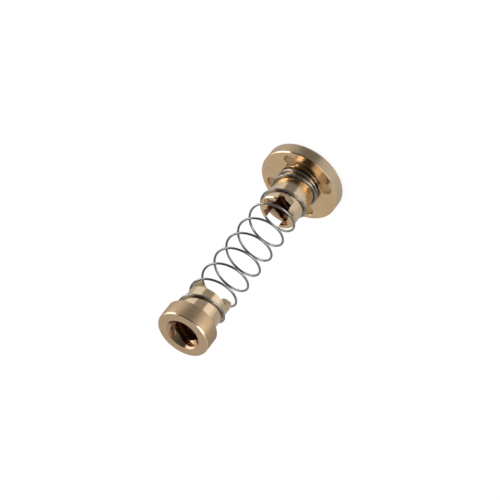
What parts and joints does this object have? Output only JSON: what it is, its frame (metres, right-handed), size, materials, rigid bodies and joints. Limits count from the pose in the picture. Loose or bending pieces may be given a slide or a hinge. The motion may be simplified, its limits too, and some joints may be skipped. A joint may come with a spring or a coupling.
{
  "type": "lead screw nut",
  "caption": "Spring-loaded anti-backlash nut for a trapezoidal lead screw: a brass flange nut, a coil spring and a brass collar nut with claws.",
  "frame": {"origin": "on the screw's axis, at the back face of the flange, which is the middle of the bottom of the bounding box", "axes": "+Z along the screw's axis from the flange towards the collar nut; the slot across the flange nut's end runs along Y"},
  "size_m": [0.022, 0.022, 0.0614],
  "materials": {
    "turned_brass": "turned, bright, with fine lathe rings",
    "spring_wire": "bright drawn wire"
  },
  "bodies": {
    "flange_nut": {"flange_nut": "turned_brass"},
    "spring": {"spring": "spring_wire"},
    "collar": {"collar_nut": "turned_brass"}
  },
  "joints": [
    {"name": "spring_turn", "type": "hinge", "parent": "flange_nut", "child": "spring", "pos_m": [0, 0, 0.0035], "axis": [0, 0, 1], "continuous": true},
    {"name": "collar_slide", "type": "slide", "parent": "spring", "child": "collar", "axis": [0, 0, -1], "range_m": [0, 0.0318], "stiffness_N_per_m": 80, "springref_m": -0.001, "deforming": ["spring"]}
  ]
}
